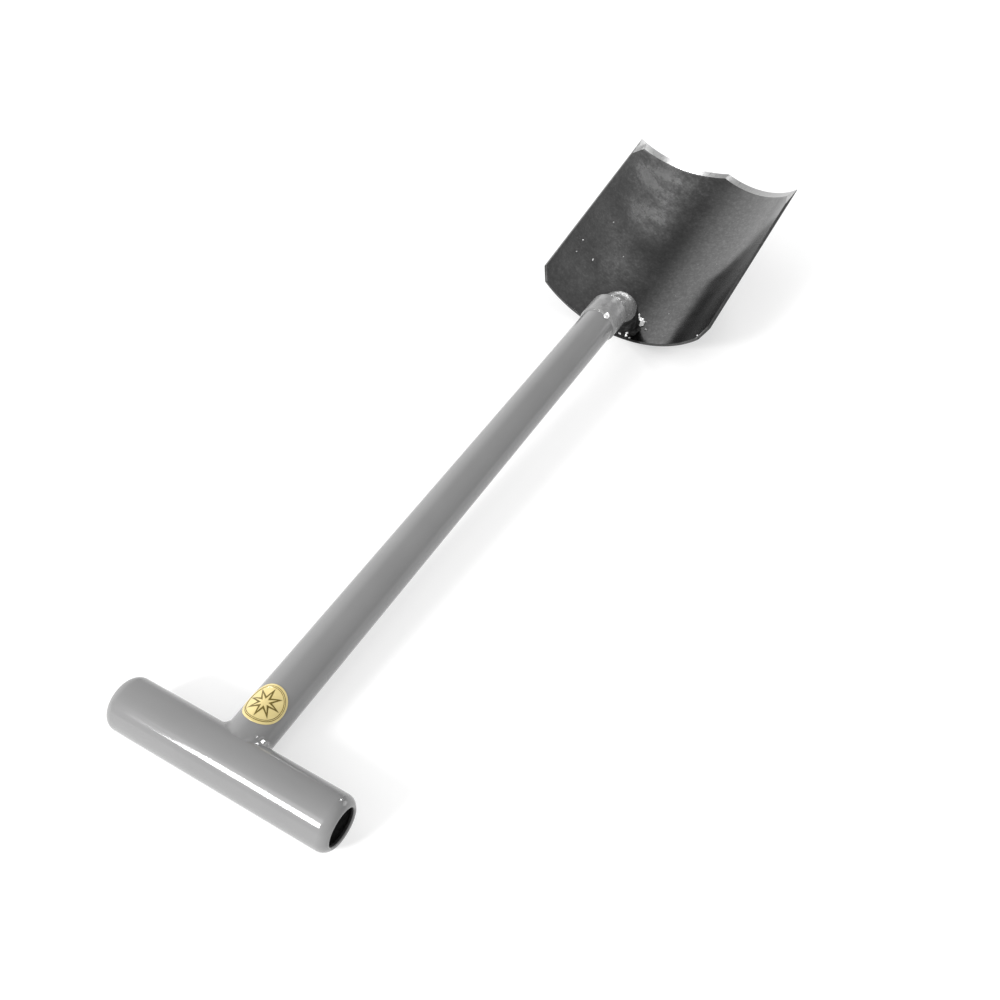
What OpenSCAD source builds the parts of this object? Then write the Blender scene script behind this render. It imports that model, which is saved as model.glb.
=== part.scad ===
// Detecting shovel: a welded tube shovel with a T grip and a dished digging blade.
// It lies face up on the floor, on its grip and on the heel of its blade.
// Millimetres. +X across, +Y from the grip to the blade's point, +Z up.

/* [Grip] */
// Outside diameter of the grip tube
grip_d = 38; // [34:0.5:50]
// Length of the grip over its rolled ends
grip_len = 172.4; // [110:0.1:240]
// Wall of the grip tube
grip_wall = 3; // [2:0.1:4]
// Radius of the rolled-in ends, outside
grip_end_r = 8; // [6:0.1:10]
// Diameter of the mouth left open in each end
grip_mouth_d = 26; // [20:0.5:27]
// Bevel that breaks the edge of each mouth
lip_break = 1; // [0.2:0.1:1.5]

/* [Shaft] */
// Outside diameter of the shaft tube
shaft_d = 32; // [26:0.5:38]
// Wall of the shaft tube
shaft_wall = 2; // [1.5:0.1:3]
// Length from the grip's axis to the shaft's far end
shaft_len = 541; // [300:1:800]

/* [Neck] */
// Length of the sleeve over the shaft's far end
sleeve_len = 24.5; // [15:0.5:40]
// Wall of the sleeve
sleeve_wall = 1.5; // [1:0.1:3]
// How far the sleeve's mouth stands past the end of the shaft
sleeve_proud = 2.5; // [1:0.1:6]
// Gap round the neck where it enters the shaft
neck_gap = 0.5; // [0.1:0.1:1]
// Wall of the neck tube
neck_wall = 3; // [2:0.1:5]
// How far the neck's spigot reaches into the shaft
spigot_len = 60; // [30:1:120]
// Straight length of the spigot left inside the shaft's end, before the bend starts
bend_setback = 4.5; // [3:0.1:10]
// Bend radius of the neck, at its centre line
bend_r = 55; // [45:0.5:80]
// Bend of the neck
bend_deg = 65; // [45:1:75]

/* [Blade] */
// Inside radius of the dished sheet
dish_r = 102; // [85:1:150]
// Width of the flat blank that the dish is rolled from
blank_w = 202; // [150:1:240]
// Length of the blade from its heel to its point
blade_len = 271; // [200:1:340]
// Thickness of the sheet
blade_t = 3; // [2:0.1:4]
// Upward tilt of the blade against the shaft
lift_deg = 9.35; // [0:0.05:15]
// Depth of the dish's floor below the shaft's axis, at the heel
heel_drop = 51.4; // [40:0.1:80]
// Distance from the shaft's far end to the blade's heel
heel_gap = 36.2; // [25:0.1:60]
// How much the front edge falls back for each millimetre away from the point
point_rake = 0.44; // [0:0.01:0.7]
// Cut across each heel corner
heel_cut = 11; // [4:0.5:20]

/* [Cutting edge] */
// Length of the ground bevel, back from the edge
bevel_len = 11; // [6:0.5:18]
// Thickness left at the edge
edge_t = 0.6; // [0.4:0.1:1.2]
// How far up each side the bevel runs past the front corner
side_bevel_len = 27; // [15:1:45]
// How far in from each side that corner bevel starts
side_bevel_w = 8; // [4:0.5:14]

/* [Welds] */
// Leg of the fillet round the grip joint
grip_weld_leg = 4; // [2:0.1:7]
// Leg of the fillet behind the sleeve
sleeve_weld_leg = 2.6; // [1.5:0.1:5]
// Height of the fillet round the neck in the sleeve's mouth
neck_weld_len = 5.5; // [3:0.1:8]
// Leg of the fillet round the neck on the blade
base_weld_leg = 5; // [3:0.1:9]

/* [Label] */
// Diameter of the round label on the shaft, measured flat
label_d = 30; // [16:0.5:34]
// Thickness of the label
label_t = 0.4; // [0.2:0.05:1]
// Height of the raised emblem above the label
emblem_h = 0.3; // [0.1:0.05:0.6]
// Width of the emblem's rings
emblem_line = 1; // [0.6:0.1:2]
// Bare shaft between the grip's weld and the label
label_gap = 0.5; // [0.5:0.5:60]

/* [Hidden] */
$fn = 96;
fine_fn = 360;      // facets of large circles, and of circles that shape a thin weld
dish_steps = 48;    // slices in each half of the dish
over = 1;       // cutters run this far past the faces they cut

grip_r = grip_d / 2;
mouth_r = grip_mouth_d / 2;
roll_in_r = grip_r - grip_end_r;                // radius of the roll's centre circle
lip_in = max(0, mouth_r + lip_break - roll_in_r);
end_x = grip_len / 2 - sqrt(grip_end_r ^ 2 - lip_in ^ 2);   // where the rolled end starts
mouth_x = grip_len / 2 - lip_break;             // where the mouth's wall ends

shaft_r = shaft_d / 2;
bore_r = shaft_r - shaft_wall;
sleeve_r = shaft_r + sleeve_wall;
sleeve_y1 = shaft_len + sleeve_proud;
sleeve_y0 = sleeve_y1 - sleeve_len;

neck_r = bore_r - neck_gap;
lap = 0.5;          // the neck's straight parts run this far into its bend,
lap_step = 0.05;    // and are this much fatter, so that they join in one solid
bend_y = shaft_len - bend_setback;
spigot_y = shaft_len - spigot_len;
leg_y = bend_y + bend_r * sin(bend_deg);        // where the straight leg starts
leg_z = -bend_r * (1 - cos(bend_deg));
leg_len = 3 * heel_drop;                        // runs well past the dish before it is cut

heel_y = shaft_len + heel_gap;
outer_r = dish_r + blade_t;
mid_r = dish_r + blade_t / 2;
half_deg = blank_w / 2 / mid_r * 180 / PI;      // half angle of the dish
toe_h = 0.3;        // the grip weld's toes end this far above the tubes
point_slope = point_rake * mid_r * PI / 180;    // fall of the edge per degree
corner_deg = half_deg - side_bevel_w / mid_r * 180 / PI;
heel_cut_deg = half_deg - heel_cut / mid_r * 180 / PI;

// Where the leg's centre line meets the dish's floor, and how far that is from the heel
floor_slope = tan(lift_deg);
leg_slope = tan(bend_deg);
root_y = (leg_z + leg_slope * leg_y + heel_drop + floor_slope * heel_y) / (leg_slope + floor_slope);
root_s = (root_y - heel_y) / cos(lift_deg);

// The shovel is tipped until grip and heel both touch the floor
heel_out_y = heel_y + blade_t * sin(lift_deg);
heel_out_z = -heel_drop - blade_t * cos(lift_deg);
tilt = atan2(-heel_out_z, heel_out_y) - asin(grip_r / norm([heel_out_y, heel_out_z]));
floor_y0 = -grip_r;
floor_y1 = heel_y * cos(tilt) + heel_drop * sin(tilt)
         + blade_len * cos(lift_deg + tilt) + blade_t * sin(lift_deg + tilt);

label_y = grip_r + grip_weld_leg + label_gap + label_d / 2;
emblem_margin = 1.5;            // bare label outside the emblem's ring

enamel = [0.60, 0.60, 0.61];
bare_weld = [0.78, 0.78, 0.77];
steel = [0.25, 0.25, 0.26];
gold = [0.86, 0.80, 0.50];
dark_gold = [0.45, 0.39, 0.12];

// From the shaft's own axes to the floor
module laid_down() {
    translate([0, -(floor_y0 + floor_y1) / 2, grip_r]) rotate([tilt, 0, 0]) children();
}

// A cylinder along +Y
module y_rod(r, y0, y1) {
    translate([0, y0, 0]) rotate([-90, 0, 0]) cylinder(r = r, h = y1 - y0);
}

module y_cone(ra, rb, y0, y1) {
    translate([0, y0, 0]) rotate([-90, 0, 0]) cylinder(r1 = ra, r2 = rb, h = y1 - y0);
}

// A cylinder along X, centred
module x_rod(r, len) {
    rotate([0, 90, 0]) cylinder(r = r, h = len, center = true);
}

// ---- grip ----

// Half of the rolled tube's outline: x along the grip, y outward
module roll_profile(r, roll_r, x1) {
    square([x1, r]);
    square([x1 + roll_r, r - roll_r]);
    translate([x1, r - roll_r]) circle(r = roll_r);
}

module grip_half_profile() {
    difference() {
        roll_profile(grip_r, grip_end_r, end_x);
        roll_profile(grip_r - grip_wall, grip_end_r - grip_wall, end_x);
        square([grip_len, mouth_r]);
        polygon([[mouth_x, mouth_r], [mouth_x, mouth_r - over], [grip_len, mouth_r - over],
                 [grip_len, mouth_r + grip_len - mouth_x]]);
    }
}

module grip_tube() {
    color(enamel) laid_down() rotate([0, 90, 0]) rotate_extrude() {
        rotate(90) grip_half_profile();
        rotate(90) mirror([1, 0]) grip_half_profile();
    }
}

// Section of the fillet at an angle round the shaft. It starts inside both tubes, which are
// cut out of it, and its toes end a little above them. The toe on the grip draws in where
// the grip curves away from the shaft.
function grip_y(r, z) = sqrt(r ^ 2 - z ^ 2);
function saddle_section(a) =
    let (crotch = grip_y(grip_r, shaft_r * sin(a)),
         toe_r = shaft_r + grip_weld_leg * cos(a) ^ 2 + (grip_r - shaft_r) / 2 * sin(a) ^ 2,
         toe = grip_y(grip_r + toe_h, toe_r * sin(a)))
    [for (p = [[shaft_r - grip_wall, crotch - grip_wall], [shaft_r - grip_wall, crotch + grip_weld_leg],
               [shaft_r + toe_h, crotch + grip_weld_leg], [toe_r, toe], [toe_r, toe - grip_wall]])
        [p[0] * cos(a), p[1], p[0] * sin(a)]];

// Faces from each section to the next, for sections that all have n points
function skin(n, from, to) = [for (i = from, j = [0:n - 1]) let (k = (j + 1) % n, i2 = (i + 1) % to)
    each [[i * n + j, i2 * n + j, i2 * n + k], [i * n + j, i2 * n + k, i * n + k]]];

// A closed ring through its sections
module ring_solid(sections) {
    m = len(sections);
    polyhedron([for (s = sections, p = s) p], skin(len(sections[0]), [0:m - 1], m));
}

// A strip through its sections, closed by the first and the last
module strip_solid(sections) {
    m = len(sections);
    n = len(sections[0]);
    ends = [[for (j = [0:n - 1]) j], [for (j = [0:n - 1]) m * n - 1 - j]];
    polyhedron([for (s = sections, p = s) p], concat(skin(n, [0:m - 2], m), ends));
}

module grip_weld() {
    steps = 64;
    color(enamel) laid_down() difference() {
        ring_solid([for (i = [0:steps - 1]) saddle_section(-i * 360 / steps)]);
        x_rod(grip_r, grip_len, $fn = fine_fn);
        y_rod(shaft_r, -over, grip_d, $fn = fine_fn);
    }
}

// ---- shaft ----

module shaft_tube() {
    color(enamel) laid_down() difference() {
        y_rod(shaft_r, 0, shaft_len);
        y_rod(bore_r, -over, shaft_len + over);
        x_rod(grip_r, grip_len);
    }
}

module neck_sleeve() {
    color(enamel) laid_down() difference() {
        y_rod(sleeve_r, sleeve_y0, sleeve_y1);
        y_rod(shaft_r, sleeve_y0 - over, sleeve_y1 + over);
    }
}

module sleeve_weld() {
    color(enamel) laid_down() difference() {
        y_cone(shaft_r, sleeve_r, sleeve_y0 - sleeve_weld_leg, sleeve_y0);
        y_rod(shaft_r, sleeve_y0 - sleeve_weld_leg - over, sleeve_y0 + over);
    }
}

// ---- neck ----

// Solid rod along the neck's path: spigot, bend and straight leg
module neck_rod(r) {
    y_rod(r, spigot_y, bend_y + lap);
    translate([0, bend_y, -bend_r]) rotate([90, 0, 90])
        rotate([0, 0, 90 - bend_deg]) rotate_extrude(angle = bend_deg)
            translate([bend_r, 0]) circle(r = r - lap_step);
    translate([0, leg_y, leg_z]) rotate([-90 - bend_deg, 0, 0])
        translate([0, 0, -lap]) cylinder(r = r, h = leg_len);
}

// From the blade's own axes: +Z runs from its heel to its point, +Y down to its floor,
// and the dish is round about Z
module in_dish() {
    translate([0, heel_y, -heel_drop]) rotate([lift_deg, 0, 0])
        translate([0, 0, dish_r]) rotate([-90, 0, 0]) children();
}

module neck_tube() {
    color(enamel) laid_down() intersection() {
        difference() {
            neck_rod(neck_r);
            neck_bore();
        }
        in_dish() translate([0, 0, -blade_len]) cylinder(r = dish_r, h = blade_len * 2, $fn = fine_fn);
    }
}

// The bore runs past both ends of the rod
module neck_bore() {
    neck_rod(neck_r - neck_wall);
    y_rod(neck_r - neck_wall, spigot_y - over, spigot_y + over);
}

module neck_weld() {
    color(enamel) laid_down() difference() {
        rotate([-90, 0, 0]) rotate_extrude() polygon([
            [neck_r - neck_wall, shaft_len], [shaft_r, shaft_len], [shaft_r, sleeve_y1],
            [sleeve_r, sleeve_y1], [sleeve_r - sleeve_wall / 2, sleeve_y1 + neck_weld_len / 3],
            [neck_r, sleeve_y1 + neck_weld_len], [neck_r - neck_wall, sleeve_y1 + neck_weld_len]]);
        neck_rod(neck_r);
    }
}

module base_weld() {
    toe_r = neck_r + base_weld_leg;
    color(enamel) laid_down() difference() {
        intersection() {
            in_dish() translate([0, dish_r - base_weld_leg, root_s]) rotate([-90, 0, 0])
                cylinder(r1 = neck_r, r2 = toe_r, h = base_weld_leg);
            in_dish() cylinder(r = dish_r, h = blade_len, $fn = fine_fn);
        }
        neck_rod(neck_r);
    }
}

// ---- blade ----

// At an angle round the dish: the heel's cut corner, the length to the edge, and the bevel
function heel_s(a) = max(0, abs(a) - heel_cut_deg) / (half_deg - heel_cut_deg) * heel_cut;
function edge_s(a) = blade_len - point_slope * abs(a);
function bevel_s(a) = bevel_len + max(0, abs(a) - corner_deg) / (half_deg - corner_deg)
                    * (side_bevel_len - bevel_len);

// Section of the sheet along the blade: radius from the dish's axis, then length
function sheet_section(a) =
    [for (p = [[outer_r, heel_s(a)], [dish_r, heel_s(a)], [dish_r, edge_s(a) - bevel_s(a)],
               [outer_r - edge_t, edge_s(a)], [outer_r, edge_s(a)]])
        [p[0] * sin(a), p[0] * cos(a), p[1]]];

module blade() {
    color(steel) laid_down() in_dish()
        strip_solid([for (i = [-dish_steps:dish_steps]) sheet_section(-i / dish_steps * half_deg)]);
}

// ---- label ----

// A flat outline laid round the shaft: x is measured along the surface
function wrap(p) = [shaft_r * sin(p[0] / shaft_r * 180 / PI), p[1]];
function ring_points(r) = [for (i = [0:71]) wrap([r * cos(i * 5), r * sin(i * 5)])];

module on_shaft(r0, h) {
    intersection() {
        difference() {
            y_rod(r0 + h, label_y - label_d, label_y + label_d);
            y_rod(r0, label_y - label_d - over, label_y + label_d + over);
        }
        translate([0, label_y, 0]) linear_extrude(height = shaft_d) children();
    }
}

module label_disc() {
    color(gold) laid_down() on_shaft(shaft_r, label_t) polygon(ring_points(label_d / 2));
}

// Eight-point star, as a wrapped outline
function star_points(r_out, r_in) = [for (i = [0:15])
    let (r = i % 2 == 0 ? r_out : r_in) wrap([r * sin(i * 22.5), r * cos(i * 22.5)])];

module label_emblem() {
    rim = label_d / 2 - emblem_margin;
    color(dark_gold) laid_down() on_shaft(shaft_r + label_t, emblem_h) {
        difference() {
            polygon(ring_points(rim));
            polygon(ring_points(rim - emblem_line));
        }
        polygon(star_points(rim - 2.5 * emblem_line, rim * 0.3));
    }
}

grip_tube();
grip_weld();
shaft_tube();
neck_sleeve();
sleeve_weld();
neck_tube();
neck_weld();
base_weld();
blade();
label_disc();
label_emblem();
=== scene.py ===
import math

import bpy
import numpy as np
from mathutils import Matrix, Vector, noise


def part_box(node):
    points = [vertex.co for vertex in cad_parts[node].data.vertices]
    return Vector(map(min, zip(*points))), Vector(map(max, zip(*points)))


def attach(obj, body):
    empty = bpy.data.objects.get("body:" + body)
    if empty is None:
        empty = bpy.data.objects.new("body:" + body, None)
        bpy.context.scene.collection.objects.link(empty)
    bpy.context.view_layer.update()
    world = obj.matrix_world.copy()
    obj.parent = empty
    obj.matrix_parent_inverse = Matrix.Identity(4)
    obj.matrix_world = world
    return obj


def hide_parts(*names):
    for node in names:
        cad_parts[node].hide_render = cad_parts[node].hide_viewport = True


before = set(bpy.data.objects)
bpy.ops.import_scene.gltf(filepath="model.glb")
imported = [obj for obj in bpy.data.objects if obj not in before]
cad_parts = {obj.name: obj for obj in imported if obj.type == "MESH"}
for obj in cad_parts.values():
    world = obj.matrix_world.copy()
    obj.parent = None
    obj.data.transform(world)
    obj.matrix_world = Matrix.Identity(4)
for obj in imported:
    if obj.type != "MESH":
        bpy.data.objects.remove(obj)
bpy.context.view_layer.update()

# The shovel is modelled in the shaft's own axes, in millimetres: x across, y from the grip's
# axis towards the blade, z out of the dish. PLACED then lays it on the floor, in metres.
MM = 0.001                  # metres in a millimetre

# ---- sizes, repeated from the CAD model ----

GRIP_D = 38.0
GRIP_LEN = 172.4
GRIP_WALL = 3.0
GRIP_END_R = 8.0            # rolled-in ends, outside
GRIP_MOUTH_D = 26.0
LIP_BREAK = 1.0             # edge broken off each mouth
SHAFT_D = 32.0
SHAFT_WALL = 2.0
SHAFT_LEN = 541.0           # from the grip's axis
SLEEVE_LEN = 24.5
SLEEVE_WALL = 1.5
SLEEVE_PROUD = 2.5          # how far the sleeve stands past the end of the shaft
NECK_GAP = 0.5              # round the neck, inside the shaft
NECK_WALL = 3.0
SPIGOT_LEN = 60.0           # neck inside the shaft
BEND_SETBACK = 4.5          # straight neck inside the shaft's end, before the bend
BEND_R = 55.0               # of the neck's centre line
BEND = math.radians(65.0)
DISH_R = 102.0              # inside of the dished sheet
BLANK_W = 202.0             # flat width that the dish is rolled from
BLADE_LEN = 271.0           # from its heel to its point
BLADE_T = 3.0
LIFT = math.radians(9.35)   # upward tilt of the blade against the shaft
HEEL_DROP = 51.4            # depth of the dish's floor below the shaft's axis, at the heel
HEEL_GAP = 36.2             # from the shaft's far end to the heel
POINT_RAKE = 0.44           # fall of the front edge for each millimetre away from the point
HEEL_CUT = 11.0             # cut across each heel corner
BEVEL_LEN = 11.0
EDGE_T = 0.6                # thickness left at the cutting edge
SIDE_BEVEL_LEN = 27.0       # length of the bevel at the blade's sides
SIDE_BEVEL_W = 8.0          # how far in from each side it starts to grow to that
GRIP_WELD_LEG = 4.0
NECK_WELD_LEN = 5.5
LABEL_D = 30.0
LABEL_T = 0.4
LABEL_GAP = 0.5             # bare shaft between the grip's weld and the label
EMBLEM_H = 0.3
EMBLEM_LINE = 1.0
EMBLEM_MARGIN = 1.5         # bare label outside the emblem's ring

# ---- sizes that follow from them ----

GRIP_R = GRIP_D / 2
MOUTH_R = GRIP_MOUTH_D / 2
SHAFT_R = SHAFT_D / 2
BORE_R = SHAFT_R - SHAFT_WALL
SLEEVE_R = SHAFT_R + SLEEVE_WALL
SLEEVE_Y1 = SHAFT_LEN + SLEEVE_PROUD
SLEEVE_Y0 = SLEEVE_Y1 - SLEEVE_LEN
NECK_R = BORE_R - NECK_GAP
NECK_BORE_R = NECK_R - NECK_WALL
SPIGOT_Y = SHAFT_LEN - SPIGOT_LEN
BEND_Y = SHAFT_LEN - BEND_SETBACK
HEEL_Y = SHAFT_LEN + HEEL_GAP
OUTER_R = DISH_R + BLADE_T
MID_R = DISH_R + BLADE_T / 2
HALF_ANGLE = BLANK_W / 2 / MID_R
CORNER_ANGLE = HALF_ANGLE - SIDE_BEVEL_W / MID_R
HEEL_CUT_ANGLE = HALF_ANGLE - HEEL_CUT / MID_R
LABEL_Y = GRIP_R + GRIP_WELD_LEG + LABEL_GAP + LABEL_D / 2


def shovel_tilt():
    """How far the shaft is tipped for grip and heel to touch the floor together."""
    heel_y = HEEL_Y + BLADE_T * math.sin(LIFT)
    heel_z = -HEEL_DROP - BLADE_T * math.cos(LIFT)
    return math.atan2(-heel_z, heel_y) - math.asin(GRIP_R / math.hypot(heel_y, heel_z))


def middle(node):
    """The middle of a CAD node's box, in metres."""
    low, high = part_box(node)
    return (low + high) / 2


PLACED = Matrix.Translation(middle("grip_tube")) @ Matrix.Rotation(shovel_tilt(), 4, "X")


# ---- camera ----

CAMERA_AT = Vector((0.29664, -0.69390, 0.63789))
CAMERA_AZIMUTH = -25.03     # degrees from +Y towards +X
CAMERA_DROP = 43.97         # degrees below level
CAMERA_ROLL = -6.47
CAMERA_LENS = 40.57
SENSOR = 36.0


def make_camera():
    data = bpy.data.cameras.new("main_camera")
    data.lens = CAMERA_LENS
    data.sensor_width = SENSOR
    data.clip_start = 0.02
    camera = bpy.data.objects.new("main_camera", data)
    turn = Matrix.Rotation(math.radians(-CAMERA_AZIMUTH), 4, "Z")
    nod = Matrix.Rotation(math.radians(90 - CAMERA_DROP), 4, "X")
    roll = Matrix.Rotation(math.radians(-CAMERA_ROLL), 4, "Z")
    camera.matrix_world = Matrix.Translation(CAMERA_AT) @ turn @ nod @ roll
    bpy.context.scene.collection.objects.link(camera)
    bpy.context.scene.camera = camera


# ---- mesh helpers ----

TUBE_STEPS = 192            # points round the grip, the shaft and the sleeve


def skin(rings, lengthwise=False):
    """Points and faces of a skin through closed rings with equal numbers of points. lengthwise
    joins the last ring to the first, and without it each of the two gets a cap."""
    rings = np.asarray(rings, float)
    m, n = rings.shape[:2]
    faces = []
    for i in range(m if lengthwise else m - 1):
        for j in range(n):
            a, b = i * n + j, i * n + (j + 1) % n
            c, d = (i + 1) % m * n + (j + 1) % n, (i + 1) % m * n + j
            faces.append((a, b, c, d))
    if not lengthwise:
        faces.append(tuple(range(n))[::-1])
        faces.append(tuple((m - 1) * n + j for j in range(n)))
    return rings.reshape(-1, 3), faces


def joined(parts):
    """Several skins' points and faces as one."""
    points, faces, first = [], [], 0
    for p, f in parts:
        points.append(p)
        faces += [tuple(first + i for i in face) for face in f]
        first += len(p)
    return np.concatenate(points), faces


def enclosed(points, faces):
    """Six times the volume that the faces enclose, which is below zero if they are inside out."""
    total = 0.0
    for face in faces:
        a = points[face[0]]
        for i in range(1, len(face) - 1):
            total += np.dot(a, np.cross(points[face[i]], points[face[i + 1]]))
    return total


def make_piece(name, parts, materials, sharp=35.0, replaced=()):
    """One visible piece from closed skins. It rides on the only body and stands for its node."""
    turned = []
    for points, faces in parts:
        if enclosed(points, faces) < 0:
            faces = [face[::-1] for face in faces]
        turned.append((points, faces))
    points, faces = joined(turned)
    mesh = bpy.data.meshes.new(name)
    mesh.from_pydata((points * MM).tolist(), [], faces)
    mesh.transform(PLACED)
    mesh.shade_smooth()
    mesh.set_sharp_from_angle(angle=math.radians(sharp))
    for material in materials:
        mesh.materials.append(material)
    piece = bpy.data.objects.new(name, mesh)
    bpy.context.scene.collection.objects.link(piece)
    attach(piece, "root")
    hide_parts(*replaced)
    return piece


def paint_rings(piece, per_ring, rings):
    """Gives the piece's second material to the faces that start at the named rings."""
    for polygon in piece.data.polygons:
        if polygon.index // per_ring in rings:
            polygon.material_index = 1


def arc(cx, cy, r, start, end, steps):
    """Points of a flat arc. Angles are in degrees from the first axis towards the second."""
    angles = np.radians(np.linspace(start, end, steps + 1))
    return [(cx + r * math.cos(a), cy + r * math.sin(a)) for a in angles]


def full_turn(steps):
    """Angles in radians, evenly round a full turn."""
    return np.linspace(0, 2 * math.pi, steps, endpoint=False)


def unit(v):
    return v / np.linalg.norm(v, axis=-1, keepdims=True)


def lumps(points, size, seed):
    """Smooth noise at each point, from about -1 to 1. size is the lumps' size in millimetres."""
    shift = Vector((seed * 17.3, seed * 5.1, seed * 9.7))
    return np.array([noise.noise(Vector(p) / size + shift) for p in np.asarray(points).reshape(-1, 3)])


def around_y(r, y, angles):
    """Points at radius r round the shaft's axis, at angles from its top towards +x."""
    return np.stack([r * np.sin(angles), y + 0 * angles, r * np.cos(angles)], 1)


def turned_about_y(profile):
    """Rings of a body of revolution about the shaft's axis, from (radius, y) points."""
    return [[(r * math.sin(a), y, r * math.cos(a)) for a in full_turn(TUBE_STEPS)] for r, y in profile]


# ---- grip ----

LIP_R = 1.2                 # rounding of each mouth's edge


def grip_profile_half():
    """(x, radius) points from the grip's middle, round its rolled end and back inside."""
    steps = 8
    roll_r = GRIP_R - GRIP_END_R
    end_x = GRIP_LEN / 2 - math.sqrt(GRIP_END_R ** 2 - (MOUTH_R + LIP_BREAK - roll_r) ** 2)
    lip_y = MOUTH_R + LIP_R
    lip_x = end_x + math.sqrt((GRIP_END_R - LIP_R) ** 2 - (lip_y - roll_r) ** 2)
    meet = math.degrees(math.atan2(lip_y - roll_r, lip_x - end_x))
    inner_r = GRIP_END_R - GRIP_WALL
    inner_meet = math.degrees(math.asin((MOUTH_R - roll_r) / inner_r))
    straight = [(end_x * i / steps, GRIP_R) for i in range(steps)]
    back = [(end_x * i / steps, GRIP_R - GRIP_WALL) for i in range(steps - 1, 0, -1)]
    return (straight + arc(end_x, roll_r, GRIP_END_R, 90, meet, 2 * steps)
            + arc(lip_x, lip_y, LIP_R, meet, -90, steps)[1:]
            + arc(end_x, roll_r, inner_r, inner_meet, 90, steps) + back)


def make_grip(enamel, bore_shade):
    """Tube along x with rolled-in ends, enamelled outside, and inside near-black: dark scale, with the
    shade in the tube painted in.
    """
    half = grip_profile_half()
    profile = half + [(0.0, GRIP_R - GRIP_WALL)] + [(-x, r) for x, r in half[:0:-1]]
    angles = full_turn(TUBE_STEPS)
    rings = [[(x, r * math.sin(a), r * math.cos(a)) for a in angles] for x, r in profile]
    piece = make_piece("grip", [skin(rings, lengthwise=True)], [enamel, bore_shade],
                       replaced=["grip_tube"])
    # The faces inside the mouths get the near-black colour, which paints the shade inside the tube.
    first = min(i for i, (x, r) in enumerate(profile) if r < MOUTH_R + 0.01)
    paint_rings(piece, len(angles), range(first, len(profile) - first))


def grip_surface_y(z):
    """How far the grip's surface lies from its axis along y, at a height z."""
    return np.sqrt(np.maximum(GRIP_R ** 2 - z ** 2, 0))


# ---- shaft and sleeve ----

def make_shaft(material):
    """Straight tube, coped to the grip's round surface."""
    angles = full_turn(TUBE_STEPS)
    lengths = np.linspace(0, 1, 41)

    def ring(r, t):
        start = grip_surface_y(r * np.cos(angles)) - 0.05
        return around_y(r, start + (SHAFT_LEN - start) * t, angles)

    rings = [ring(SHAFT_R, t) for t in lengths] + [ring(BORE_R, t) for t in lengths[::-1]]
    make_piece("shaft", [skin(rings, lengthwise=True)], [material],
               replaced=["shaft_tube"])


def make_sleeve(material):
    """Short tube over the shaft's far end, with softened corners."""
    edge = 0.55
    profile = ([(SHAFT_R, SLEEVE_Y0)] + arc(SLEEVE_R - edge, SLEEVE_Y0 + edge, edge, -90, 0, 6)
               + arc(SLEEVE_R - edge, SLEEVE_Y1 - edge, edge, 0, 90, 6) + [(SHAFT_R, SLEEVE_Y1)])
    make_piece("sleeve", [skin(turned_about_y(profile), lengthwise=True)], [material],
               replaced=["neck_sleeve"])


# ---- welds ----

def bead(root, toe_a, toe_b, swell, steps):
    """Closed sections of a weld bead, one at each place along it. A section runs from the root to
    one toe, over the bead's face to the other toe, and swell is how far the face stands proud."""
    root, toe_a, toe_b = (np.asarray(p, float) for p in (root, toe_a, toe_b))
    out = unit((toe_a + toe_b) / 2 - root)
    t = np.linspace(0, 1, steps + 1)[None, :, None]
    face = toe_a[:, None] * (1 - t) + toe_b[:, None] * t
    face = face + out[:, None] * np.asarray(swell)[:, None, None] * np.sin(math.pi * t)
    return np.concatenate([root[:, None], face], axis=1), out


def roughened(sections, out, height, size, seed):
    """Lifts the face of each section by noise. The toes and the root stay where they are."""
    steps = sections.shape[1] - 2
    fade = np.sin(math.pi * np.linspace(0, 1, steps + 1)) ** 0.7
    lift = lumps(sections[:, 1:], size, seed).reshape(len(sections), -1) * fade * height
    sections[:, 1:] += out[:, None] * lift[:, :, None]
    return sections


def bump_at(angles, centre, width):
    """A smooth rise of 1 at an angle, both in degrees, for angles in radians."""
    off = (np.degrees(angles) - centre + 180) % 360 - 180
    return np.exp(-(off / width) ** 2)


def make_grip_weld(material):
    """Fillet in the T joint. Its root is sunk in the tubes, and its toes lie on their surfaces."""
    a = full_turn(360)
    across, up = np.sin(a), np.cos(a)
    leg = GRIP_WELD_LEG * (1 + 0.10 * np.sin(3 * a + 1.0) + 0.25 * bump_at(a, 52, 16))
    crotch = grip_surface_y(SHAFT_R * up)
    toe_r = SHAFT_R + leg * across ** 2 + (GRIP_R - SHAFT_R) / 2 * up ** 2
    root = around_y(SHAFT_R - 1, crotch - 1.5, a)
    on_shaft = around_y(SHAFT_R, crotch + leg, a)
    on_grip = around_y(toe_r, grip_surface_y(toe_r * up), a)
    swell = -0.9 + 1.6 * bump_at(a, 60, 9) + 1.2 * bump_at(a, 36, 11) + 0.5 * bump_at(a, 300, 20)
    sections, out = bead(root, on_shaft, on_grip, swell, steps=20)
    sections = roughened(sections, out, 0.24, 3.6, 1)
    make_piece("grip_bead", [skin(sections, lengthwise=True)], [material],
               replaced=["grip_weld"])


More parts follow.
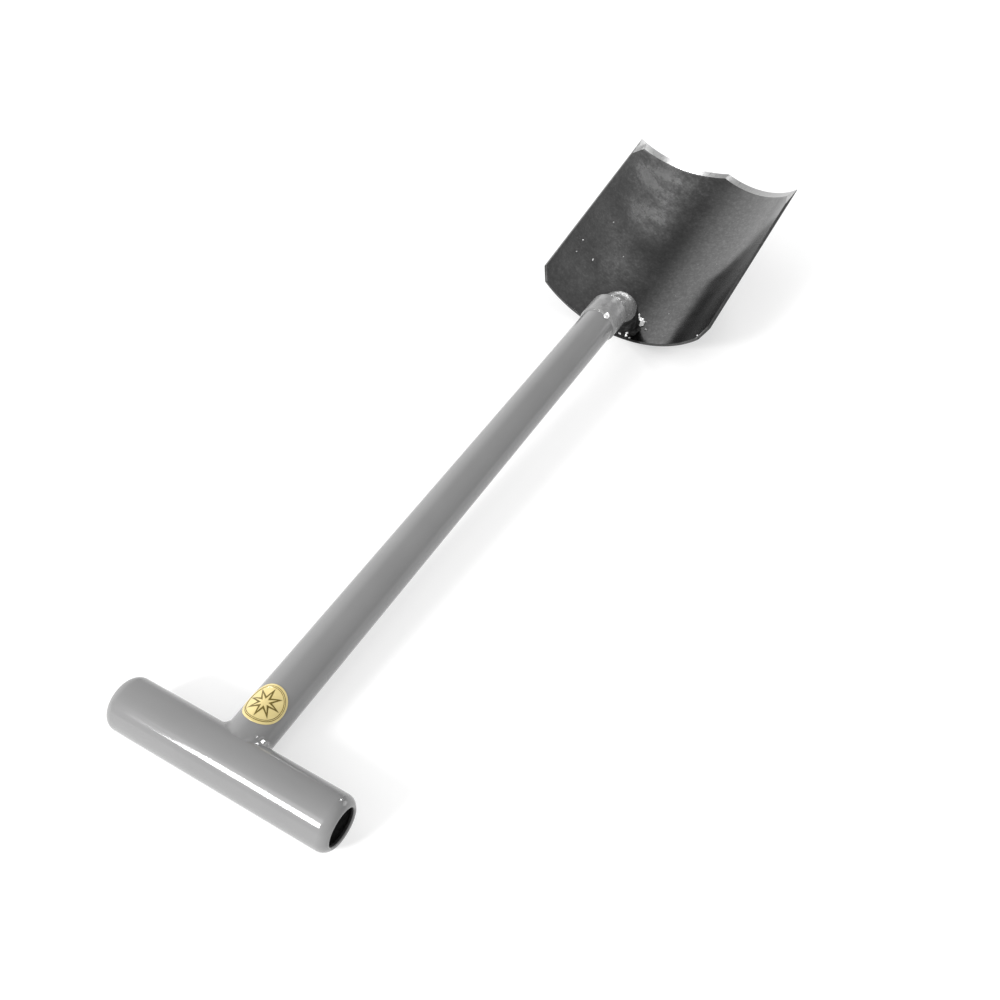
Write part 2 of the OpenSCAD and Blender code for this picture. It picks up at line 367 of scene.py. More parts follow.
def make_sleeve_weld(enamel, bright_weld_and_highlight):
    """Thin enamelled bead behind the sleeve, with the lump left where it was ended. The lump gets the
    pale bare metal, which paints the highlight seen on it.
    """
    a = full_turn(360)
    end_lump = bump_at(a, 29, 8)
    back = 1.5 + 0.5 * np.sin(4 * a) + 2.6 * end_lump
    lip = SLEEVE_R - 0.25 + 0.35 * end_lump
    root = around_y(SHAFT_R - 0.4, SLEEVE_Y0 + 0.5, a)
    toe_a = around_y(SHAFT_R - 0.05, SLEEVE_Y0 - back, a)
    toe_b = around_y(lip, SLEEVE_Y0 + 0.3 + 1.6 * end_lump, a)
    sections, out = bead(root, toe_a, toe_b, 0.25 + 1.7 * end_lump, steps=12)
    sections = roughened(sections, out, 0.3, 1.6, 2)
    piece = make_piece("sleeve_bead", [skin(sections, lengthwise=True)],
                       [enamel, bright_weld_and_highlight], replaced=["sleeve_weld"])
    # The lump's faces get the pale bare metal: a painted highlight as well as bare weld.
    paint_rings(piece, sections.shape[1], set(np.flatnonzero(end_lump > 0.3)))


def make_neck_weld(material):
    """Built-up bead that closes the sleeve's mouth round the bent neck."""
    a = full_turn(420)
    end_y = SLEEVE_Y1 + (NECK_WELD_LEN - 0.4 + 0.5 * np.sin(5 * a + 0.6))
    sag = BEND_R * (1 - np.cos(np.arcsin((end_y - BEND_Y) / BEND_R)))
    ridge = bump_at(a, 12, 24)
    root = around_y(NECK_R - 1, SLEEVE_Y1 - 2, a)
    toe_a = around_y(SLEEVE_R, SLEEVE_Y1 - 0.4 - 2.0 * ridge, a)
    toe_b = around_y(NECK_R - 0.15, end_y, a)
    toe_b[:, 2] -= sag
    ripple = 0.16 * np.abs(np.sin(a * 36))
    swell = 0.9 + ripple + 0.9 * ridge + 0.7 * bump_at(a, 30, 12)
    sections, out = bead(root, toe_a, toe_b, swell, steps=24)
    sections = roughened(sections, out, 0.9, 3.0, 3)
    make_piece("neck_bead", [skin(sections, lengthwise=True)], [material],
               replaced=["neck_weld"])


# ---- neck ----

BEND_RINGS = 97
PAINT_END = math.radians(51.0)      # the enamel stops this far round the bend
# The straight leg after the bend: where it starts, its way, and its own upward side
LEG_START = np.array([0.0, BEND_Y + BEND_R * math.sin(BEND), -BEND_R * (1 - math.cos(BEND))])
LEG_WAY = np.array([0.0, math.cos(BEND), -math.sin(BEND)])
LEG_UP = np.array([0.0, math.sin(BEND), math.cos(BEND)])


def on_sheet(angle, s, r=DISH_R):
    """The point at an angle round the dish, s from the heel along it and r from its axis."""
    x = r * math.sin(angle)
    z = DISH_R - r * math.cos(angle)
    return np.array([x, HEEL_Y + s * math.cos(LIFT) - z * math.sin(LIFT),
                     s * math.sin(LIFT) + z * math.cos(LIFT) - HEEL_DROP])


def in_dish(v):
    """A direction's parts in the dish's own axes: across, along the blade, up from its floor."""
    along = v[1] * math.cos(LIFT) + v[2] * math.sin(LIFT)
    return v[0], along, v[2] * math.cos(LIFT) - v[1] * math.sin(LIFT)


def dropped(point, way):
    """Where a line from a point meets the dish's floor, with its angle and its s there."""
    x, s, h = in_dish(point - np.array([0, HEEL_Y, -HEEL_DROP]))
    dx, ds, dh = in_dish(way)
    h = DISH_R - h
    a, b, c = dx ** 2 + dh ** 2, x * dx - h * dh, x ** 2 + h ** 2 - DISH_R ** 2
    t = (-b + math.sqrt(b ** 2 - a * c)) / a
    return point + way * t, math.atan2(x + dx * t, h - dh * t), s + ds * t


def neck_ring(r, centre, up, angles):
    """Points round the neck, at angles from its up side towards +x."""
    across = np.array([1.0, 0, 0])
    return [centre + r * (math.sin(b) * across + math.cos(b) * up) for b in angles]


def make_neck(enamel, burnt_and_shade):
    """Bent tube, cut off where it meets the dish. Near the blade its enamel gives way to near-black
    steel: heat scale, and painted shade where the leg hangs over the dish.
    """
    angles = full_turn(128)
    straight = (SPIGOT_Y, SHAFT_LEN - 20)       # rings of the spigot, before those of the bend

    def tube(r):
        rings = [neck_ring(r, np.array([0, y, 0]), np.array([0, 0, 1.0]), angles) for y in straight]
        for t in np.linspace(0, BEND, BEND_RINGS):
            centre = np.array([0, BEND_Y + BEND_R * math.sin(t), BEND_R * (math.cos(t) - 1)])
            rings.append(neck_ring(r, centre, np.array([0, math.sin(t), math.cos(t)]), angles))
        last = rings[-1]
        foot = [dropped(p, LEG_WAY)[0] for p in last]
        for share in (0.35, 0.7, 1.0):
            rings.append([p + (q - p) * share for p, q in zip(last, foot)])
        return rings

    rings = tube(NECK_R) + tube(NECK_BORE_R)[::-1]
    piece = make_piece("neck", [skin(rings, lengthwise=True)], [enamel, burnt_and_shade],
                       replaced=["neck_tube"])
    paint_edge = len(straight) + PAINT_END / BEND * (BEND_RINGS - 1)
    # Faces past a ragged line at PAINT_END get the near-black steel: heat scale and painted shade under
    # the bend.
    ragged = 5 * lumps(rings, 7, 7) + 3 * lumps(rings, 2.2, 8)
    for polygon in piece.data.polygons:
        if polygon.index // len(angles) + ragged[polygon.index] >= paint_edge:
            polygon.material_index = 1


# ---- weld on the blade ----

# Lumps at the weld's foot: degrees round the neck from its front towards +x, how much further
# they reach in mm, width in degrees
FOOT_LUMPS = [(20, 3.0, 9), (44, 3.4, 9), (60, 4.2, 6), (76, 2.6, 6), (95, 2.4, 6), (125, 1.6, 9),
              (148, 2.6, 7), (186, 1.6, 9), (222, 2.0, 12), (268, 2.4, 14), (318, 2.0, 12)]
# Where its metal is left bright: the same degrees, width in degrees, how much of it
BRIGHT_FOOT = [(32, 14, 1.0), (60, 20, 1.0), (148, 9, 0.62), (176, 7, 0.6)]
# A face below BRIGHT_FROM gets the near-black steel: heat scale, and painted shade round the neck's
# foot.
BRIGHT_FROM = 0.55          # a face with less than this is burnt
# Spatter on the blade: mm across from its middle, mm along from its heel, diameter
SPATTER = [(-84.6, 70, 1.7), (-82.8, 54, 1.3), (-64.1, 63, 2.2), (9.5, 30.5, 2.2), (21.5, 17.5, 2.4),
           (11.6, 1.8, 1.8), (-24.0, 26.0, 1.2), (34.0, 44.0, 1.0), (-41.0, 92.0, 1.0),
           (-70.0, 118.0, 1.1), (88.6, 3.4, 1.9), (-16.5, 47.0, 1.0)]
# A drop's rings: height above the sheet and width, as shares of its diameter
DROP_RINGS = [(-0.35, 0.45), (-0.2, 0.85), (0.0, 1.0), (0.18, 0.9), (0.32, 0.6), (0.38, 0.2)]


def make_base_weld(bright_weld_and_highlight, burnt_and_shade):
    """Rough unpainted bead round the neck's foot, with the spatter that it threw."""
    b = full_turn(420)
    spread = 2.6 + 0.5 * np.sin(7 * b) + sum(reach * bump_at(b, at, width)
                                             for at, reach, width in FOOT_LUMPS)
    climb = 2.6 + 0.9 * np.sin(3 * b + 0.5) + 0.7 * np.sin(8 * b)
    middle_s = dropped(LEG_START, LEG_WAY)[2]
    root, toe_a, toe_b = [], [], []
    for i, rim in enumerate(neck_ring(NECK_R, LEG_START, LEG_UP, b)):
        foot, turn, s = dropped(rim, LEG_WAY)
        away = unit(np.array([turn * DISH_R, s - middle_s]))
        outward = unit(rim - LEG_START)
        root.append(foot - outward * 1.0 + LEG_WAY * 0.8)
        toe_a.append(foot - LEG_WAY * climb[i] - outward * 0.1)
        toe_s = max(s + away[1] * spread[i], 0.6)
        toe_b.append(on_sheet(turn + away[0] * spread[i] / DISH_R, toe_s, DISH_R + 0.15))
    swell = 0.1 + 0.25 * np.abs(np.sin(b * 22)) + 0.35 * bump_at(b, 60, 30)
    sections, out = bead(root, toe_a, toe_b, swell, steps=16)
    sections = roughened(sections, out, 0.65, 3.0, 4)
    drops = [weld_drop(x, s, d, i) for i, (x, s, d) in enumerate(SPATTER)]
    points, faces = skin(sections, lengthwise=True)
    piece = make_piece("base_bead", [(points, faces)] + drops, [bright_weld_and_highlight, burnt_and_shade], sharp=60,
                       replaced=["base_weld"])
    clean = sum(share * bump_at(b, at, width) for at, width, share in BRIGHT_FOOT)
    patchy = lumps(points, 2.4, 5)
    # Faces with little clean metal get the near-black steel, heat scale and painted shade.
    for polygon in piece.data.polygons[:len(faces)]:
        ring = polygon.index // sections.shape[1]
        if clean[ring] * (1 + 1.5 * patchy[polygon.vertices[0]]) < BRIGHT_FROM:
            polygon.material_index = 1


def weld_drop(x, s, d, seed):
    """A frozen drop of weld metal of diameter d, sunk in the sheet, x across and s along it."""
    angle = x / DISH_R
    centre = on_sheet(angle, s)
    up = unit(on_sheet(angle, s, DISH_R - 1) - centre)
    along = unit(on_sheet(angle, s + 1) - centre)
    side = np.cross(along, up)
    rings = []
    for lift, share in DROP_RINGS:
        ring = []
        for turn in full_turn(16):
            uneven = 1 + 0.28 * math.sin(2 * turn + seed) + 0.15 * math.sin(3 * turn + 2 * seed)
            r = d / 2 * share * uneven
            ring.append(centre + up * lift * d + along * r * math.cos(turn) + side * r * math.sin(turn))
        rings.append(ring)
    return skin(rings)


# ---- blade ----

BROKEN_EDGE = 0.35          # broken off the sheet's heel and sides
EDGE_LEAN = 0.1             # how far the cutting edge leans back to the underside
HEEL_POINTS = 4             # a section's points round the heel,
TOP_STEPS = 60              # its steps from there to the bevel,
BEVEL_STEPS = 8             # along the bevel,
UNDER_STEPS = 40            # and back along the underside
EVEN_SECTIONS = 145
# The heel's edge under the weld is near-black: soot, and painted shade under the neck's foot.
SOOT_AND_SHADE_HEEL_ANGLE = 0.22     # how far round the dish the heel's edge is blackened under the weld


def heel_s(a):
    """Where the sheet starts, at an angle round the dish."""
    return max(0, abs(a) - HEEL_CUT_ANGLE) / (HALF_ANGLE - HEEL_CUT_ANGLE) * HEEL_CUT


def edge_s(a):
    """Where the sheet ends in its cutting edge."""
    return BLADE_LEN - POINT_RAKE * MID_R * abs(a)


def bevel_s(a):
    """The bevel's length, which grows past the front corners."""
    past = max(0, abs(a) - CORNER_ANGLE) / (HALF_ANGLE - CORNER_ANGLE)
    return BEVEL_LEN + past * (SIDE_BEVEL_LEN - BEVEL_LEN)


def sheet_section(a, burr):
    """Closed section of the sheet along the blade. burr draws its faces in at the side edges."""
    start, end = heel_s(a), edge_s(a)
    bevel = end - bevel_s(a)
    soft = BROKEN_EDGE
    top, under = DISH_R + burr, OUTER_R - burr
    edge_top = OUTER_R - EDGE_T
    path = [(under, start + soft), (under - soft, start), (top + soft, start), (top, start + soft)]
    path += [(top, start + soft + (bevel - start - soft) * i / TOP_STEPS)
             for i in range(1, TOP_STEPS + 1)]
    path += [(top + (edge_top - top) * i / BEVEL_STEPS, bevel + (end - bevel) * i / BEVEL_STEPS)
             for i in range(1, BEVEL_STEPS + 1)]
    path += [(max(under, edge_top), end - EDGE_LEAN)]
    path += [(under, end - (end - start - soft) * i / UNDER_STEPS) for i in range(1, UNDER_STEPS)]
    return [on_sheet(a, s, r) for r, s in path]


def blade_angles():
    """Angles of the sections: even steps, with the corners of the outline and a broken edge."""
    last = HALF_ANGLE - BROKEN_EDGE / MID_R
    exact = [sign * a for a in (HEEL_CUT_ANGLE, CORNER_ANGLE) for sign in (-1, 1)]
    even = np.linspace(-last, last, EVEN_SECTIONS)
    angles = [a for a in even if min(abs(a - e) for e in exact) > 0.002]
    return sorted(angles + exact + [-HALF_ANGLE, HALF_ANGLE])


def make_blade(sheet, ground, burnt_and_shade):
    """Dished sheet with a ground bevel."""
    angles = blade_angles()
    sections = [sheet_section(a, BROKEN_EDGE if abs(a) > HALF_ANGLE - 1e-6 else 0.0) for a in angles]
    blade = make_piece("blade_sheet", [skin(sections)], [sheet, ground, burnt_and_shade], sharp=20,
                       replaced=["blade"])
    paint_blade(blade.data, angles, len(sections[0]))


def paint_blade(mesh, angles, per_section):
    """Gives the bevel and the cutting edge the ground metal, and the heel's edge under the weld
    the near-black one, soot with painted shade. Columns are counted along each section. The two caps
    have more than 4 points."""
    first = HEEL_POINTS + TOP_STEPS - 1
    last = first + BEVEL_STEPS + 1
    for polygon in mesh.polygons:
        columns = [v % per_section for v in polygon.vertices]
        angle = angles[min(polygon.vertices) // per_section]
        if len(columns) > 4:
            continue
        if min(columns) >= first and max(columns) <= last:
            polygon.material_index = 1
        elif min(columns) > 0 and max(columns) < HEEL_POINTS and abs(angle) < SOOT_AND_SHADE_HEEL_ANGLE:
            polygon.material_index = 2


# ---- label ----

def round_shaft(x, y, h):
    """A flat point laid round the shaft, h above it."""
    a = x / SHAFT_R
    return ((SHAFT_R + h) * math.sin(a), LABEL_Y + y, (SHAFT_R + h) * math.cos(a))


def make_label(material):
    """Thin disc bent round the shaft, with a soft rim."""
    r = LABEL_D / 2
    edge = 0.3
    sunk = 0.05
    hub = 0.05
    steps = 12
    profile = [(hub, LABEL_T)] + [(r * i / steps, LABEL_T) for i in range(1, steps)]
    profile += [(r - edge + x, h) for x, h in arc(0, LABEL_T - edge, edge, 90, 0, 5)]
    profile += [(r, -sunk)] + [(r * i / steps, -sunk) for i in range(steps - 1, 0, -1)] + [(hub, -sunk)]
    angles = full_turn(144)
    rings = [[round_shaft(q * math.cos(a), q * math.sin(a), h) for a in angles] for q, h in profile]
    make_piece("label", [skin(rings)], [material], replaced=["label_disc"])


def star_outline(tip, notch, steps):
    """Points of an eight-point star, with steps points on each of its 16 sides."""
    corners = [(r * math.sin(math.radians(22.5 * k)), r * math.cos(math.radians(22.5 * k)))
               for k, r in enumerate([tip, notch] * 8)]
    corners = np.array(corners + corners[:1])
    return [corners[k] + (corners[k + 1] - corners[k]) * i / steps
            for k in range(16) for i in range(steps)]


def star_skin(tip, notch, foot, side, top):
    """A star with upright sides up to side, and facets that rise from there to top in its middle."""
    star = star_outline(tip, notch, 10)
    shares = [0.02] + [i / 10 for i in range(1, 11)]
    tops = [[round_shaft(*(p * t), top + (side - top) * t) for p in star] for t in shares]
    feet = [[round_shaft(*(p * t), foot) for p in star] for t in shares[::-1]]
    return skin(tops + feet)


def band_skin(outer, width, foot, top):
    """A flat ring with slightly sloping sides."""
    slope = width * 0.15
    angles = full_turn(160)
    flat = [(outer, foot), (outer - slope, top), (outer - width + slope, top), (outer - width, foot)]
    rings = [[round_shaft(q * math.cos(a), q * math.sin(a), h) for a in angles] for q, h in flat]
    return skin(rings, lengthwise=True)


def make_emblem(dark, gold):
    """A ring and a faceted star, gold on top of a dark outline."""
    rim = LABEL_D / 2 - EMBLEM_MARGIN
    foot, low, high = LABEL_T - 0.1, LABEL_T + EMBLEM_H / 2, LABEL_T + EMBLEM_H
    tip, notch = rim - 2.2 * EMBLEM_LINE, rim * 0.34
    parts = [band_skin(rim, EMBLEM_LINE * 1.6, foot, low), star_skin(tip, notch, foot, low, low),
             band_skin(rim - EMBLEM_LINE * 0.55, EMBLEM_LINE * 0.5, low - 0.05, high),
             star_skin(tip * 0.68, notch * 0.52, low - 0.05, low + 0.03, high)]
    piece = make_piece("emblem", parts, [dark, gold], sharp=12,
                       replaced=["label_emblem"])
    plain = len(parts[0][1]) + len(parts[1][1])
    for polygon in piece.data.polygons[plain:]:
        polygon.material_index = 1


# ---- materials ----

# Where the blade's scale is rubbed pale: mm across, mm from its heel, reach in mm, strength
RUBBED = [(-52, 205, 60, 1.0), (-44, 158, 48, 0.85), (-20, 232, 40, 0.55), (-62, 108, 46, 0.35),
          (-36, 78, 50, 0.42), (-70, 40, 40, 0.25), (-8, 188, 34, 0.2)]


def set_range(node, low, high, out_low, out_high):
    """Has a Map Range node carry low..high over to out_low..out_high smoothly."""
    node.interpolation_type = "SMOOTHSTEP"
    ends = {"From Min": low, "From Max": high, "To Min": out_low, "To Max": out_high}
    for name, number in ends.items():
        node.inputs[name].default_value = number


class Nodes:
    """A material's node tree, with short ways to add the nodes that these looks use."""

    def __init__(self, name):
        self.material = bpy.data.materials.new(name)
        self.material.use_nodes = True
        self.tree = self.material.node_tree
        self.shader = self.tree.nodes["Principled BSDF"]
        self.place = self.tree.nodes.new("ShaderNodeTexCoord").outputs["Object"]

    def join(self, value, socket):
        """Links a socket's value to another socket, or sets it to a number or colour."""
        if isinstance(value, bpy.types.NodeSocket):
            self.tree.links.new(value, socket)
        else:
            socket.default_value = value

    def stretched(self, scale, turn=(0, 0, 0)):
        """The place scaled along each axis and turned by degrees, for streaks."""
        node = self.tree.nodes.new("ShaderNodeMapping")
        self.join(self.place, node.inputs["Vector"])
        node.inputs["Scale"].default_value = scale
        node.inputs["Rotation"].default_value = [math.radians(t) for t in turn]
        return node.outputs["Vector"]

    def near(self, place, size_mm):
        """1 at a place in metres, falling smoothly to 0 at size_mm from it."""
        node = self.tree.nodes.new("ShaderNodeVectorMath")
        node.operation = "DISTANCE"
        self.join(self.place, node.inputs[0])
        node.inputs[1].default_value = place
        return self.ramp(node.outputs["Value"], size_mm * MM, 0.0)

    def noise(self, size_mm, detail, rough=0.5, where=None):
        """Noise whose features are about size_mm across."""
        node = self.tree.nodes.new("ShaderNodeTexNoise")
        self.join(where or self.place, node.inputs["Vector"])
        node.inputs["Scale"].default_value = 1 / (size_mm * MM)
        node.inputs["Detail"].default_value = detail
        node.inputs["Roughness"].default_value = rough
        return node.outputs["Fac"]

    def spots(self, spacing_mm, size):
        """1 inside small round spots and 0 between them. size is a share of the spacing."""
        node = self.tree.nodes.new("ShaderNodeTexVoronoi")
        self.join(self.place, node.inputs["Vector"])
        node.inputs["Scale"].default_value = 1 / (spacing_mm * MM)
        return self.ramp(node.outputs["Distance"], size, size * 0.5)

    def ramp(self, value, low, high, out_low=0.0, out_high=1.0):
        """Maps low..high to out_low..out_high smoothly, and holds the ends."""
        node = self.tree.nodes.new("ShaderNodeMapRange")
        self.join(value, node.inputs["Value"])
        if low > high:
            low, high, out_low, out_high = high, low, out_high, out_low
        set_range(node, low, high, out_low, out_high)
        return node.outputs["Result"]

    def math(self, how, a, b):
        node = self.tree.nodes.new("ShaderNodeMath")
        node.operation = how
        self.join(a, node.inputs[0])
        self.join(b, node.inputs[1])
        return node.outputs["Value"]

    def mix(self, share, a, b):
        """Colour a where share is 0 and b where it is 1. A plain number is a grey."""
        node = self.tree.nodes.new("ShaderNodeMix")
        node.data_type = "RGBA"
        self.join(share, node.inputs["Factor"])
        for value, name in ((a, "A"), (b, "B")):
            socket = [i for i in node.inputs if i.name == name and i.type == "RGBA"][0]
            self.join(grey(value) if isinstance(value, float) else value, socket)
        return [o for o in node.outputs if o.type == "RGBA"][0]

    def bump(self, height, depth_mm, strength, under=None):
        """A normal with relief from height, on top of the one under it."""
        node = self.tree.nodes.new("ShaderNodeBump")
        self.join(height, node.inputs["Height"])
        node.inputs["Distance"].default_value = depth_mm * MM
        node.inputs["Strength"].default_value = strength
        if under:
            self.join(under, node.inputs["Normal"])
        return node.outputs["Normal"]

    def finish(self, **inputs):
        """Sets the shader's sockets by name, with underscores for spaces."""
        for name, value in inputs.items():
            self.join(value, self.shader.inputs[name.replace("_", " ")])
        return self.material


def grey(level):
    return (level, level, level, 1.0)


def grey_enamel():
    """Glossy grey enamel: slight orange peel, faint drift of tone and a little dust."""
    n = Nodes("grey_enamel")
    tone = n.mix(n.noise(45, 3), 0.188, 0.222)
    dust = n.math("MULTIPLY", n.spots(7, 0.035), n.ramp(n.noise(30, 2), 0.5, 0.65))
    colour = n.mix(n.math("MULTIPLY", dust, 0.35), tone, 0.5)
    peel = n.bump(n.noise(2.6, 2, 0.4), 0.02, 0.35)
    sag = n.bump(n.noise(11, 1, 0.3), 0.06, 0.35, under=peel)
    gloss = n.ramp(n.noise(25, 4), 0.3, 0.7, 0.08, 0.125)
    return n.finish(Base_Color=colour, Roughness=gloss, Normal=sag, Specular_IOR_Level=0.5)


def dulled_enamel():
    """The same enamel over the sleeve and the neck, mottled and less glossy from the welding."""
    n = Nodes("dulled_enamel")
    mottle = n.noise(7, 4, 0.6)
    colour = n.mix(n.ramp(mottle, 0.3, 0.7), 0.17, 0.25)
    gloss = n.ramp(n.noise(9, 4), 0.3, 0.7, 0.16, 0.32)
    relief = n.bump(n.noise(3.2, 3, 0.5), 0.05, 0.5)
    relief = n.bump(mottle, 0.16, 0.4, under=relief)
    return n.finish(Base_Color=colour, Roughness=gloss, Normal=relief, Specular_IOR_Level=0.5)


def blade_steel():
    """Dark rolled steel: scale rubbed pale in soft patches on the -X side, grain and scratches."""
    n = Nodes("blade_steel")
    cloud = n.noise(30, 3, 0.5)
    mottle = n.noise(6, 5, 0.7)
    grain = n.noise(2.4, 3, 0.65)
    base = n.mix(n.ramp(mottle, 0.3, 0.7), 0.082, 0.108)
    worn = 0.0
    for x, s_from_heel, size, strength in RUBBED:
        place = PLACED @ Vector(on_sheet(x / DISH_R, s_from_heel) * MM)
        worn = n.math("MAXIMUM", n.math("MULTIPLY", n.near(place, size), strength), worn)
    average = n.math("ADD", n.math("MULTIPLY", cloud, 0.5), n.math("MULTIPLY", mottle, 0.5))
    worn = n.math("MULTIPLY", worn, n.ramp(average, 0.36, 0.64, 0.35, 1.0))
    colour = n.mix(worn, base, 0.29)
    flecks = n.ramp(grain, 0.46, 0.68)
    colour = n.mix(n.math("MULTIPLY", flecks, n.ramp(worn, 0, 0.6, 0.14, 0.5)), colour, 0.32)
    scratch = n.ramp(n.noise(5, 2, 0.5, n.stretched((8, 0.2, 8), (0, 0, 33))), 0.68, 0.74)
    colour = n.mix(n.math("MULTIPLY", scratch, 0.2), colour, 0.3)
    speck = n.math("MULTIPLY", n.spots(6, 0.07), n.ramp(n.noise(22, 2), 0.5, 0.58))
    colour = n.mix(n.math("MULTIPLY", speck, 0.6), colour, 0.45)
    rough = n.math("ADD", n.ramp(cloud, 0.35, 0.7, 0.16, 0.21), n.ramp(worn, 0, 1, 0.0, 0.14))
    relief = n.bump(grain, 0.01, 0.3)
    relief = n.bump(n.noise(38, 2), 0.2, 0.25, under=relief)
    return n.finish(Base_Color=colour, Metallic=1.0, Roughness=rough, Normal=relief)


def ground_steel():
    """Bright bevel with fine grinding lines that run back from the edge."""
    n = Nodes("ground_steel")
    lines = n.noise(1.6, 3, 0.6, n.stretched((3.0, 0.15, 3.0)))
    colour = n.mix(lines, 0.31, 0.44)
    rough = n.ramp(lines, 0.3, 0.7, 0.26, 0.4)
    return n.finish(Base_Color=colour, Metallic=1.0, Roughness=rough, Normal=n.bump(lines, 0.02, 0.4))


def burnt_steel_and_shade():
    """Neck and weld metal blackened by the welding heat, made near-black as painted shade round the
    neck's foot as well.
    """
    n = Nodes("burnt_steel_and_shade")
    # Near-black: heat scale, with the shade round the neck's foot painted in.
    colour = n.mix(n.ramp(n.noise(5, 4, 0.6), 0.4, 0.75), 0.014, 0.055)
    rough = n.ramp(n.noise(3, 3), 0.3, 0.7, 0.7, 0.9)
    return n.finish(Base_Color=colour, Roughness=rough, Specular_IOR_Level=0.08,
                    Normal=n.bump(n.noise(1.3, 3), 0.08, 0.5))


def bare_weld():
    """Pale unpainted weld metal. On the sleeve bead's lump it also paints the highlight that the lump
    shows.
    """
    n = Nodes("bare_weld")
    colour = n.mix(n.noise(1.5, 2), 0.6, 0.9)
    relief = n.bump(n.noise(1.0, 2), 0.05, 0.4)
    return n.finish(Base_Color=colour, Metallic=0.8, Roughness=0.4, Normal=relief)


def bore_scale_and_shade():
    """Bare dark scale inside the grip, darkened to near-black as painted shade inside the tube."""
    n = Nodes("bore_scale_and_shade")
    # Near-black: painted shade inside the tube, over the dark scale.
    colour = n.mix(n.ramp(n.noise(2.5, 4, 0.7), 0.35, 0.7), 0.008, 0.03)
    relief = n.bump(n.noise(1.2, 3), 0.1, 0.5)
    return n.finish(Base_Color=colour, Metallic=0.0, Roughness=0.7, Normal=relief)


def gold_foil():
    """Pale gold label under a thin clear coat."""
    n = Nodes("gold_foil")
    colour = n.mix(n.noise(5, 3), (0.62, 0.50, 0.20, 1), (0.74, 0.62, 0.29, 1))
    rough = n.ramp(n.noise(2, 3), 0.3, 0.7, 0.3, 0.42)
    return n.finish(Base_Color=colour, Metallic=0.25, Roughness=rough,
                    Normal=n.bump(n.noise(0.8, 3), 0.02, 0.5), Coat_Weight=0.4, Coat_Roughness=0.08)


def dark_gold_print():
    """The emblem's dark outline, under the same coat."""
    n = Nodes("dark_gold_print")
    colour = n.mix(n.noise(3, 3), (0.10, 0.07, 0.008, 1), (0.19, 0.14, 0.02, 1))
    rough = n.ramp(n.noise(1.5, 3), 0.3, 0.7, 0.3, 0.45)
    return n.finish(Base_Color=colour, Metallic=0.35, Roughness=rough,
                    Normal=n.bump(n.noise(0.7, 2), 0.02, 0.4), Coat_Weight=0.4, Coat_Roughness=0.08)


# ---- stage ----

FLOOR_REACH = 30.0          # metres from its middle to each side
WORLD_LEVEL = 0.33          # of the studio's walls, where 1 is white
WORLD_SEEN = 0.88           # of the plain tone that the camera sees instead of them
# Where the walls are brighter: azimuth and elevation in degrees, the cosine of the angle from
# there at which the rise starts, the cosine at which it is full, and how much it adds
WORLD_LOBES = [(180, 25, -0.2, 1.0, 0.5), (-66, 12, 0.54, 0.98, 1.25), (75, 30, 0.3, 1.0, 0.3),
               (30, 10, 0.972, 0.99, 3.0), (-157, 43, 0.97, 1.0, 3.0)]


def make_floor():
    """Plain pale floor. Low views show its far edge as a horizon."""
    mesh = bpy.data.meshes.new("floor")
    square = [(x * FLOOR_REACH, y * FLOOR_REACH, 0) for x, y in ((-1, -1), (1, -1), (1, 1), (-1, 1))]
    mesh.from_pydata(square, [], [(0, 1, 2, 3)])
    n = Nodes("floor_white")
    n.finish(Base_Color=grey(0.55), Roughness=0.9, Specular_IOR_Level=0.0,
             Emission_Color=grey(1.0), Emission_Strength=0.5)
    mesh.materials.append(n.material)
    floor = bpy.data.objects.new("floor", mesh)
    bpy.context.scene.collection.objects.link(floor)


def direction(azimuth, elevation):
    """Unit vector from degrees: azimuth from +Y towards +X, elevation above level."""
    a, e = math.radians(azimuth), math.radians(elevation)
    return Vector((math.sin(a) * math.cos(e), math.cos(a) * math.cos(e), math.sin(e)))


def soft_box(name, aim, azimuth, elevation, distance, width, height, radiance):
    """A rectangular light that faces aim. radiance is its brightness where 1 is white."""
    data = bpy.data.lights.new(name, "AREA")
    data.shape = "RECTANGLE"
    data.size = width
    data.size_y = height
    data.energy = radiance * math.pi * width * height
    light = bpy.data.objects.new(name, data)
    way = direction(azimuth, elevation)
    light.location = aim + way * distance
    light.rotation_euler = way.to_track_quat("Z", "Y").to_euler()
    bpy.context.scene.collection.objects.link(light)


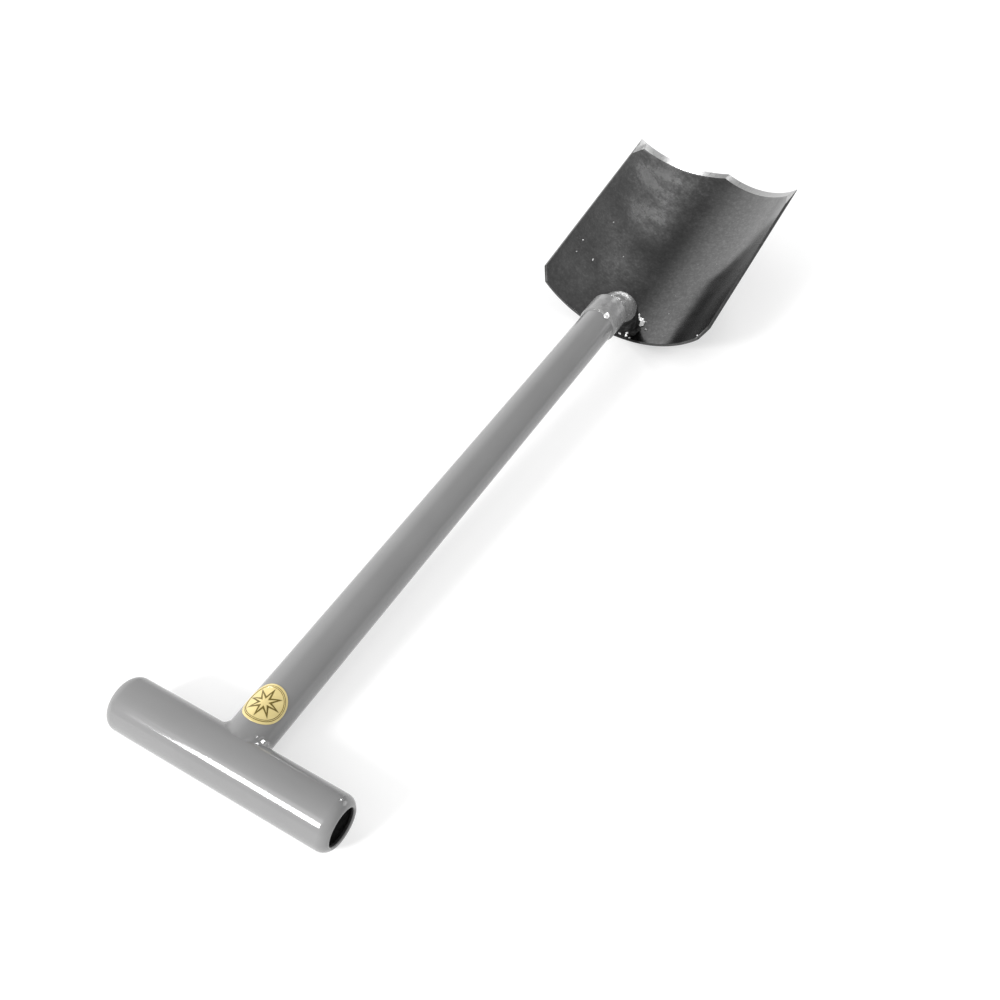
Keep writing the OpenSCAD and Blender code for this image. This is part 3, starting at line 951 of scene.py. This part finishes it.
def make_world():
    """A studio whose walls are brighter on some sides, which the camera sees as one plain tone."""
    world = bpy.data.worlds.new("studio")
    world.use_nodes = True
    bpy.context.scene.world = world
    tree = world.node_tree
    back = tree.nodes["Background"]
    back.inputs["Color"].default_value = grey(1.0)
    way = tree.nodes.new("ShaderNodeTexCoord").outputs["Generated"]
    level = tree.nodes.new("ShaderNodeValue").outputs["Value"]
    level.default_value = WORLD_LEVEL
    for azimuth, elevation, start, full, strength in WORLD_LOBES:
        facing = tree.nodes.new("ShaderNodeVectorMath")
        facing.operation = "DOT_PRODUCT"
        tree.links.new(way, facing.inputs[0])
        facing.inputs[1].default_value = direction(azimuth, elevation)
        lobe = tree.nodes.new("ShaderNodeMapRange")
        tree.links.new(facing.outputs["Value"], lobe.inputs["Value"])
        set_range(lobe, start, full, 0.0, strength)
        total = tree.nodes.new("ShaderNodeMath")
        total.operation = "ADD"
        tree.links.new(level, total.inputs[0])
        tree.links.new(lobe.outputs["Result"], total.inputs[1])
        level = total.outputs[0]
    seen = tree.nodes.new("ShaderNodeMix")
    light_path = tree.nodes.new("ShaderNodeLightPath")
    tree.links.new(light_path.outputs["Is Camera Ray"], seen.inputs["Factor"])
    tree.links.new(level, seen.inputs["A"])
    seen.inputs["B"].default_value = WORLD_SEEN
    tree.links.new(seen.outputs["Result"], back.inputs["Strength"])


def make_lights():
    """A wide box behind the camera and a small one beyond the blade."""
    soft_box("strip_box", middle("grip_tube"), azimuth=-157.5, elevation=29.5, distance=2.5,
             width=0.56, height=0.6, radiance=60)
    soft_box("rim_box", middle("shaft_tube"), azimuth=2, elevation=27, distance=2.6,
             width=0.36, height=0.36, radiance=34)


# ---- the shovel ----

def make_shovel():
    enamel = grey_enamel()
    bright_weld_and_highlight = bare_weld()
    burnt_and_shade = burnt_steel_and_shade()
    make_grip(enamel, bore_scale_and_shade())
    make_grip_weld(enamel)
    make_shaft(enamel)
    dulled = dulled_enamel()
    make_sleeve(dulled)
    make_sleeve_weld(enamel, bright_weld_and_highlight)
    make_neck(dulled, burnt_and_shade)
    make_neck_weld(enamel)
    make_base_weld(bright_weld_and_highlight, burnt_and_shade)
    make_blade(blade_steel(), ground_steel(), burnt_and_shade)
    foil = gold_foil()
    make_label(foil)
    make_emblem(dark_gold_print(), foil)


def corners(bounds):
    """A box's two corners as plain lists."""
    return [[float(v) for v in corner] for corner in bounds]


make_camera()
make_floor()
make_world()
make_lights()
make_shovel()
bpy.context.scene.view_settings.view_transform = "Standard"
